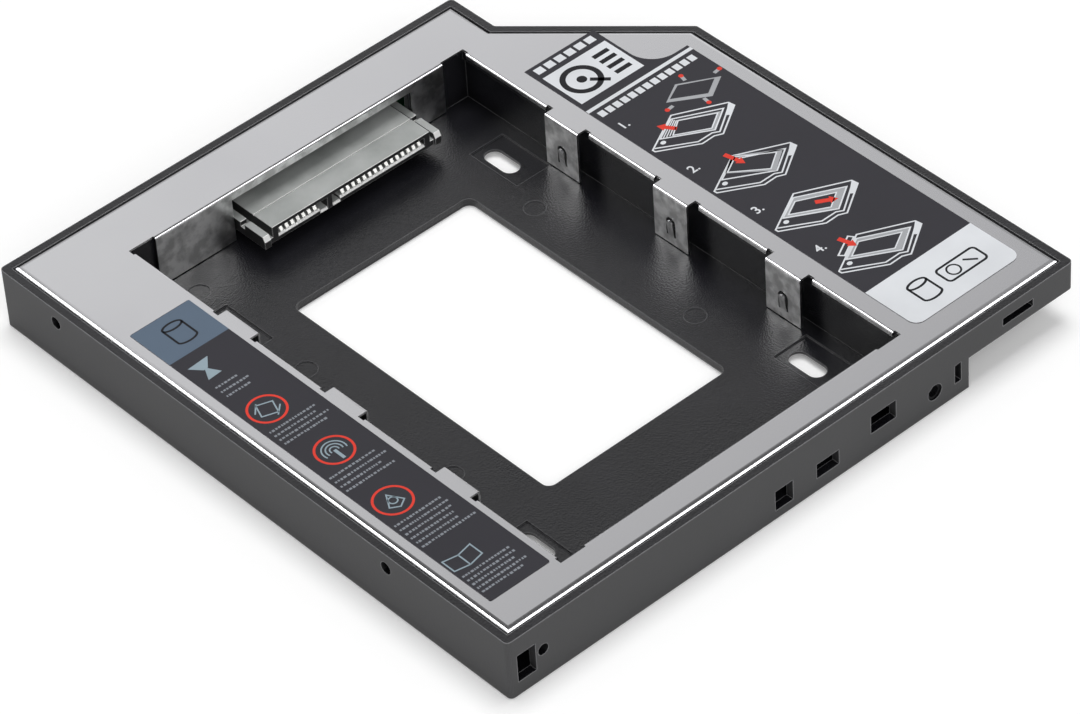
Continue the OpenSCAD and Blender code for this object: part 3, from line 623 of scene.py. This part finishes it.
# What lies in the bay of each drawing: an empty one, a tilted drive and two seated drives
bayDrawings = [
    {"outer": [(8.6, 3.0), (15.6, -0.75), (11.3, -3.55), (4.95, 0.4)],
     "inner": [(8.6, 2.7), (14.85, -0.7), (11.25, -3.0), (5.25, 0.45)], "stripes": 3},
    {"outer": [(8.6, 4.75), (16.0, -0.3), (11.2, -3.6), (4.6, 2.1)],
     "inner": [(8.85, 4.1), (14.7, -0.1), (10.95, -2.6), (5.1, 2.05)], "stripes": 0},
    {"outer": [(8.0, 3.75), (16.1, -0.5), (11.3, -3.5), (3.3, 1.3)],
     "inner": [(7.5, 3.0), (14.1, -0.35), (10.75, -2.45), (4.3, 1.3)], "stripes": 0},
    {"outer": [(8.0, 3.75), (16.1, -0.5), (11.3, -3.5), (3.3, 1.3)],
     "inner": [(7.65, 3.1), (14.5, -0.4), (10.75, -2.5), (4.25, 1.25)], "stripes": 0},
]
# The bare drive above the drawings, on four pegs, and the bar that closes the last one
looseDrive = {
    "outer": [(109.1, 79.4), (113.65, 81.95), (120.85, 77.8), (116.0, 74.9)],
    "inner": [(110.2, 79.65), (113.75, 81.45), (119.6, 78.2), (116.0, 76.0)],
    "pegs": [(107.85, 77.75), (116.0, 82.95), (114.35, 74.1), (122.1, 79.55)],
    "pegLength": 1.5, "pegWidth": 0.7, "tipRadius": 0.48, "tipSteps": 12,
}
closingBar = [(2.8, 3.0), (7.4, 5.4), (8.0, 4.55), (3.5, 2.2)]
# Plain picture on the panel: a disc with its hub and arm beside four bars
panelPicture = {
    "disc": (103.3, 94.8), "discRadius": 3.4, "discWidth": 1.1, "discSteps": 48,
    "hub": 0.95, "hubSteps": 24, "arm": [(106.9, 91.2), (104.3, 93.8)], "armWidth": 0.9,
    "bars": (108.7, 112.3), "barHeight": 1.0, "barPitch": 1.95, "barCount": 4,
}
# Plain pictures on the white field: a cylinder, and a drive with its disc and arm
fieldPicture = {
    "width": 0.45, "cylinder": (103.2, 107.3, 9.7, 15.2),
    "drive": (109.5, 118.6, 10.6, 14.4), "driveRounds": (0.8, 0.8, 0.8, 0.8),
    "disc": (112.2, 12.5), "discRadius": 1.25, "discWidth": 0.35,
    "arm": [(117.0, 11.5), (115.0, 13.2)],
}


def trayLines(place, drawn, wide, draw):
    knob = arc(moved([draw["knob"]], place)[0], draw["knobRadius"], count=draw["knobSteps"])
    lines = [line(moved(draw["outline"], place), wide, *firstInk),
             stroke(moved(draw["edge"], place), wide, *firstInk),
             slab(moved(draw["end"], place), *secondInk),
             line(moved(draw["bay"], place), wide, *firstInk),
             line(moved(drawn["inner"], place), wide * draw["innerShare"], *secondInk),
             slab(knob, *firstInk)]
    upper = np.array([draw["bay"][0], draw["bay"][3]])
    lower = np.array([drawn["inner"][0], drawn["inner"][3]])
    for step in range(1, drawn["stripes"] + 1):
        share = step / (drawn["stripes"] + 1)
        ends = upper * (1 - share) + lower * share
        lines.append(stroke(moved(ends, place), wide * draw["stripeShare"], *firstInk))
    return lines


def band(outer, inner):
    return ring(closedOutline(outer), closedOutline(inner), *firstInk)


def buildGuideFields(look):
    left, right = look["left"], look["right"]
    field = softRectangle(left, right, look["front"], look["fieldEnd"], look["fieldRounds"])
    fields = [slab(field, *firstInk), slab(rectangle(*look["panel"]), *firstInk),
              slab(rectangle(left, right, *look["rule"]), *firstInk)]
    fields += blocks(*look["heading"], look["headingBlocks"], firstInk)
    fields += blocks(*look["strip"], look["stripBlocks"], firstInk)
    buildPrint("guide_white_fields", fields, "white")


def buildGuideDrawings(look, drive):
    wide = look["lineWidth"]
    lines = []
    bands = []
    for place, drawn in zip(look["frames"], bayDrawings):
        lines += trayLines(place, drawn, wide, trayDrawing)
        bands.append(band(moved(drawn["outer"], place), moved(drawn["inner"], place)))
    lines.append(line(moved(closingBar, look["frames"][-1]), wide, *firstInk))
    buildPrint("guide_line_drawings", lines, "white")
    bands.append(band(drive["outer"], drive["inner"]))
    middle = np.mean(drive["outer"], axis=0)
    for peg in drive["pegs"]:
        inward = (middle - peg) / np.linalg.norm(middle - peg) * drive["pegLength"]
        bands.append(stroke([peg, peg + inward], drive["pegWidth"], *firstInk))
    buildPrint("guide_grey_bands", bands, "silver")


def buildGuideArrows(look, drive):
    arrows = [arrow(tail, tip, look["arrowWidth"], look["arrowHead"], *secondInk)
              for tail, tip in look["arrows"]]
    tips = [slab(arc(peg, drive["tipRadius"], count=drive["tipSteps"]), *secondInk)
            for peg in drive["pegs"]]
    buildPrint("guide_red_arrows", arrows + tips, "red")


def buildGuidePictures(panel, field):
    disc = arc(panel["disc"], panel["discRadius"], count=panel["discSteps"])
    icons = [line(disc, panel["discWidth"], *secondInk),
             slab(arc(panel["disc"], panel["hub"], count=panel["hubSteps"]), *secondInk),
             stroke(panel["arm"], panel["armWidth"], *secondInk)]
    x0, x1 = panel["bars"]
    tall = (panel["barCount"] - 1) * panel["barPitch"]
    first = panel["disc"][1] - tall / 2 - panel["barHeight"] / 2
    for bar in range(panel["barCount"]):
        y = first + bar * panel["barPitch"]
        icons.append(slab(rectangle(x0, x1, y, y + panel["barHeight"]), *secondInk))
    icons += cylinderLines(*field["cylinder"], field["width"], secondInk)
    drive = softRectangle(*field["drive"], field["driveRounds"])
    icons.append(line(drive, field["width"], *secondInk))
    icons.append(line(arc(field["disc"], field["discRadius"]), field["discWidth"], *secondInk))
    icons.append(stroke(field["arm"], field["width"], *secondInk))
    buildPrint("guide_black_shapes", icons, "black")


# Numbers from Blender's own font, made a mesh and moved to their place on the label
def buildNumbers(look):
    for number, (x, y) in enumerate(look["numbers"], 1):
        text = bpy.data.curves.new(f"number_{number}", "FONT")
        text.body = f"{number}."
        text.size = look["numberHeight"] * mm / look["capitalShare"]
        text.extrude = inkStep
        text.offset = look["numberSwell"] * mm
        flat = bpy.data.objects.new(f"number_{number}_text", text)
        bpy.context.scene.collection.objects.link(flat)
        bpy.context.view_layer.update()
        mesh = bpy.data.meshes.new_from_object(flat)
        bpy.data.objects.remove(flat)
        joinPoints(mesh)
        place = (corner.x + x * mm, corner.y + y * mm, labelTop - inkStep)
        mesh.transform(Matrix.Translation(place))
        addPiece(f"guide_number_{number}", mesh, "white")


# Side label: a field with a cylinder, three rings, and rows of dashes beside plain shapes.
# A row is given by left, right, front, rear and its number of lines
sidePrint = {
    "field": (4.5, 17.3, 88.6, 99.1), "cylinder": (9.0, 13.0, 91.0, 96.8), "cylinderWidth": 0.42,
    "rings": [(8.9, 68.7), (10.2, 53.2), (9.0, 37.35)],
    "ringRadius": 3.35, "ringWidth": 0.45, "ringSteps": 48,
    "rows": [(6.2, 12.8, 75.5, 78.9, 3), (5.4, 16.7, 59.8, 64.1, 4), (5.1, 16.2, 44.0, 48.7, 4),
             (5.1, 16.1, 25.5, 32.7, 6), (5.0, 15.7, 11.0, 16.2, 5)],
    "seed": 4, "dashHeight": 0.5, "dashLength": (0.25, 0.6), "dashGap": (0.14, 0.3),
    "dashLift": (0, 0.12), "raggedEnd": (0, 0.3),
}

# Shapes in the rings, from each ring's middle: a square between two ticks, waves over a
# post, and a kite round a disc. Then a glass of two slabs and an open book
sideShapes = {
    "lineWidth": 0.26,
    "squareRadius": 2.1, "squareTurn": (25, 385), "squareCorners": 4,
    "ticks": [[(-2.3, 0.3), (-0.6, 2.2)], [(0.4, -2.4), (2.3, -0.6)]],
    "waveRadii": (0.8, 1.5, 2.2), "waveSpan": (-20, 200), "waveSteps": 20,
    "post": [(0, 0), (0, -2.6)], "postWidth": 0.6,
    "kite": [(0, 1.7), (1.6, -1.0), (0, -2.0), (-1.6, -1.0)], "kiteDisc": 0.8, "kiteSteps": 20,
    "glass": [[(5.9, 85.6), (10.4, 85.9), (8.6, 83.6), (7.7, 83.5)],
              [(7.9, 83.5), (8.4, 83.6), (9.7, 81.3), (6.7, 81.1)]],
    "book": [(5.0, 20.9), (7.9, 20.3), (10.9, 20.9), (10.9, 17.9), (7.9, 17.3), (5.0, 17.9)],
    "spine": [(7.9, 20.3), (7.9, 17.3)],
}


# Rows of dashes whose lengths come from a seeded list of random numbers
def dashRows(look):
    chance = np.random.default_rng(look["seed"])
    dashes = []
    for x0, x1, y0, y1, count in look["rows"]:
        for y in np.linspace(y1 - look["dashHeight"], y0, count):
            x = x0
            end = x1 - chance.uniform(*look["raggedEnd"]) * (x1 - x0)
            while x < end:
                length = chance.uniform(*look["dashLength"])
                lift = chance.uniform(*look["dashLift"])
                dash = rectangle(x, x + length, y + lift, y + look["dashHeight"])
                dashes.append(slab(dash, *firstInk))
                x += length + chance.uniform(*look["dashGap"])
    return dashes


def buildSidePrint(look):
    buildPrint("side_blue_field", [slab(rectangle(*look["field"]), *firstInk)], "blue")
    cylinder = cylinderLines(*look["cylinder"], look["cylinderWidth"], secondInk)
    buildPrint("side_black_shape", cylinder, "black")
    rings = [line(arc(centre, look["ringRadius"], count=look["ringSteps"]), look["ringWidth"], *firstInk)
             for centre in look["rings"]]
    buildPrint("side_red_rings", rings, "red")
    buildPrint("side_dashes", dashRows(look), "grey")


def buildSideShapes(look, centres):
    thin = look["lineWidth"]
    first, second, third = centres
    square = arc(first, look["squareRadius"], *look["squareTurn"], look["squareCorners"])
    shapes = [line(square, thin, *secondInk)]
    for tick in look["ticks"]:
        shapes.append(stroke(moved(tick, first), thin, *secondInk))
    for radius in look["waveRadii"]:
        wave = arc(second, radius, *look["waveSpan"], look["waveSteps"])
        shapes.append(stroke(wave, thin, *secondInk))
    shapes.append(stroke(moved(look["post"], second), look["postWidth"], *secondInk))
    shapes.append(line(moved(look["kite"], third), thin, *secondInk))
    shapes.append(line(arc(third, look["kiteDisc"], count=look["kiteSteps"]), thin, *secondInk))
    for half in look["glass"]:
        shapes.append(slab(half, *secondInk))
    shapes.append(line(look["book"], thin, *secondInk))
    shapes.append(stroke(look["spine"], thin, *secondInk))
    buildPrint("side_pale_shapes", shapes, "pale")


# Studio: a pale floor, soft light from above and from the camera's side, and a surround
# whose reflection brightens towards the rear, is darker overhead and holds two soft boxes
studio = {
    "floorSize": 8, "floorShade": (0.9, 0.9, 0.9, 1), "floorGlow": 0.17,
    "floorLevel": -0.0002, "clearReach": 0.0008,
    "plainShade": (0.35, 0.35, 0.35, 1), "cameraShade": (1, 1, 1, 1),
    "rearStops": [(0.0, (0.24,)), (0.45, (0.26,)), (0.52, (0.34,)), (0.56, (0.42,)),
                  (0.60, (0.50,)), (0.65, (0.64,)), (0.70, (0.46,)), (0.78, (0.28,))],
    "zenithStops": [(0.71, (1.0,)), (0.80, (0.3,))], "surroundStrength": 2.0,
    "softBoxes": [
        {"from": (-0.48, 0.58, 0.66), "full": 8, "none": 12, "strength": 10},
        {"from": (0.49, -0.62, 0.61), "full": 8, "none": 14, "strength": 6},
    ],
    "lamps": [
        {"name": "overhead", "from": (0.15, 0.1, 0.98), "angle": 32, "power": 1.45},
        {"name": "camera_side", "from": (-0.35, -0.73, 0.59), "angle": 50, "power": 0.95},
    ],
}


# From beneath, and to rays that start on the underside, the floor is clear
def buildFloor(look):
    size, level = look["floorSize"] / 2, look["floorLevel"]
    mesh = bpy.data.meshes.new("floor")
    corners = [(x, y, level) for x, y in rectangle(-size, size, -size, size)]
    mesh.from_pydata(corners, [], [(0, 1, 2, 3)])
    floor = bpy.data.objects.new("floor", mesh)
    bpy.context.scene.collection.objects.link(floor)
    material, tree = emptyMaterial("pale_floor")
    path = addNode(tree, "ShaderNodeLightPath").outputs
    diffuse = addNode(tree, "ShaderNodeBsdfDiffuse", inputs={"Color": look["floorShade"]})
    strength = calculate(tree, "MULTIPLY", path["Is Camera Ray"], look["floorGlow"])
    glow = addNode(tree, "ShaderNodeEmission", inputs={"Strength": strength})
    both = addNode(tree, "ShaderNodeAddShader", inputs={0: diffuse.outputs[0], 1: glow.outputs[0]})
    near = calculate(tree, "LESS_THAN", path["Ray Length"], look["clearReach"])
    behind = addNode(tree, "ShaderNodeNewGeometry").outputs["Backfacing"]
    isClear = calculate(tree, "MAXIMUM", near, behind)
    clear = addNode(tree, "ShaderNodeBsdfTransparent")
    shown = addNode(tree, "ShaderNodeMixShader", inputs={
        0: isClear, 1: both.outputs[0], 2: clear.outputs[0]})
    addNode(tree, "ShaderNodeOutputMaterial", inputs={"Surface": shown.outputs[0]})
    mesh.materials.append(material)


# Camera rays see white, glossy and clear ones the surround, others a plain grey. A soft
# box fills the directions whose angle to its own is small
def buildWorld(look):
    world = bpy.data.worlds.new("white_surround")
    world.use_nodes = True
    tree = world.node_tree
    tree.nodes.clear()
    path = addNode(tree, "ShaderNodeLightPath").outputs
    way = addNode(tree, "ShaderNodeTexCoord").outputs["Generated"]
    parts = addNode(tree, "ShaderNodeSeparateXYZ", inputs={"Vector": way}).outputs
    zenith = gradient(tree, parts["Z"], look["zenithStops"])
    reflected = calculate(tree, "MULTIPLY", gradient(tree, parts["Y"], look["rearStops"]), zenith)
    reflected = calculate(tree, "MULTIPLY", reflected, look["surroundStrength"])
    for box in look["softBoxes"]:
        along = calculateVector(tree, "DOT_PRODUCT", way, Vector(box["from"]).normalized())
        edge, core = (math.cos(math.radians(box[name])) for name in ("none", "full"))
        glow = mapRange(tree, along, edge, core, 0.0, box["strength"], "SMOOTHSTEP")
        reflected = calculate(tree, "ADD", reflected, glow)
    mirrored = calculate(tree, "MAXIMUM", path["Is Glossy Ray"], path["Is Transmission Ray"])
    seen = mixValues(tree, "RGBA", mirrored, look["plainShade"], reflected)
    shown = mixValues(tree, "RGBA", path["Is Camera Ray"], seen, look["cameraShade"])
    background = addNode(tree, "ShaderNodeBackground", inputs={"Color": shown})
    addNode(tree, "ShaderNodeOutputWorld", inputs={"Surface": background.outputs[0]})
    bpy.context.scene.world = world


def buildLamps(look):
    for lamp in look["lamps"]:
        data = bpy.data.lights.new(lamp["name"], "SUN")
        data.angle = math.radians(lamp["angle"])
        data.energy = lamp["power"]
        light = bpy.data.objects.new(lamp["name"], data)
        light.rotation_mode = "QUATERNION"
        light.rotation_quaternion = Vector(lamp["from"]).to_track_quat("Z", "Y")
        light.visible_glossy = False
        bpy.context.scene.collection.objects.link(light)


buildCamera(cameraPlace)
print("camera placed")
dressCadNodes()
print("CAD nodes dressed")
buildFilm("guide_label_film", "guide_label")
buildFilm("side_label_film", "side_label")
buildGuideFields(guidePrint)
buildGuideDrawings(guidePrint, looseDrive)
buildGuideArrows(guidePrint, looseDrive)
buildGuidePictures(panelPicture, fieldPicture)
buildNumbers(guidePrint)
buildSidePrint(sidePrint)
buildSideShapes(sideShapes, sidePrint["rings"])
print("labels printed")
buildFloor(studio)
buildWorld(studio)
buildLamps(studio)
bpy.context.scene.view_settings.view_transform = "Standard"
print("studio lit")
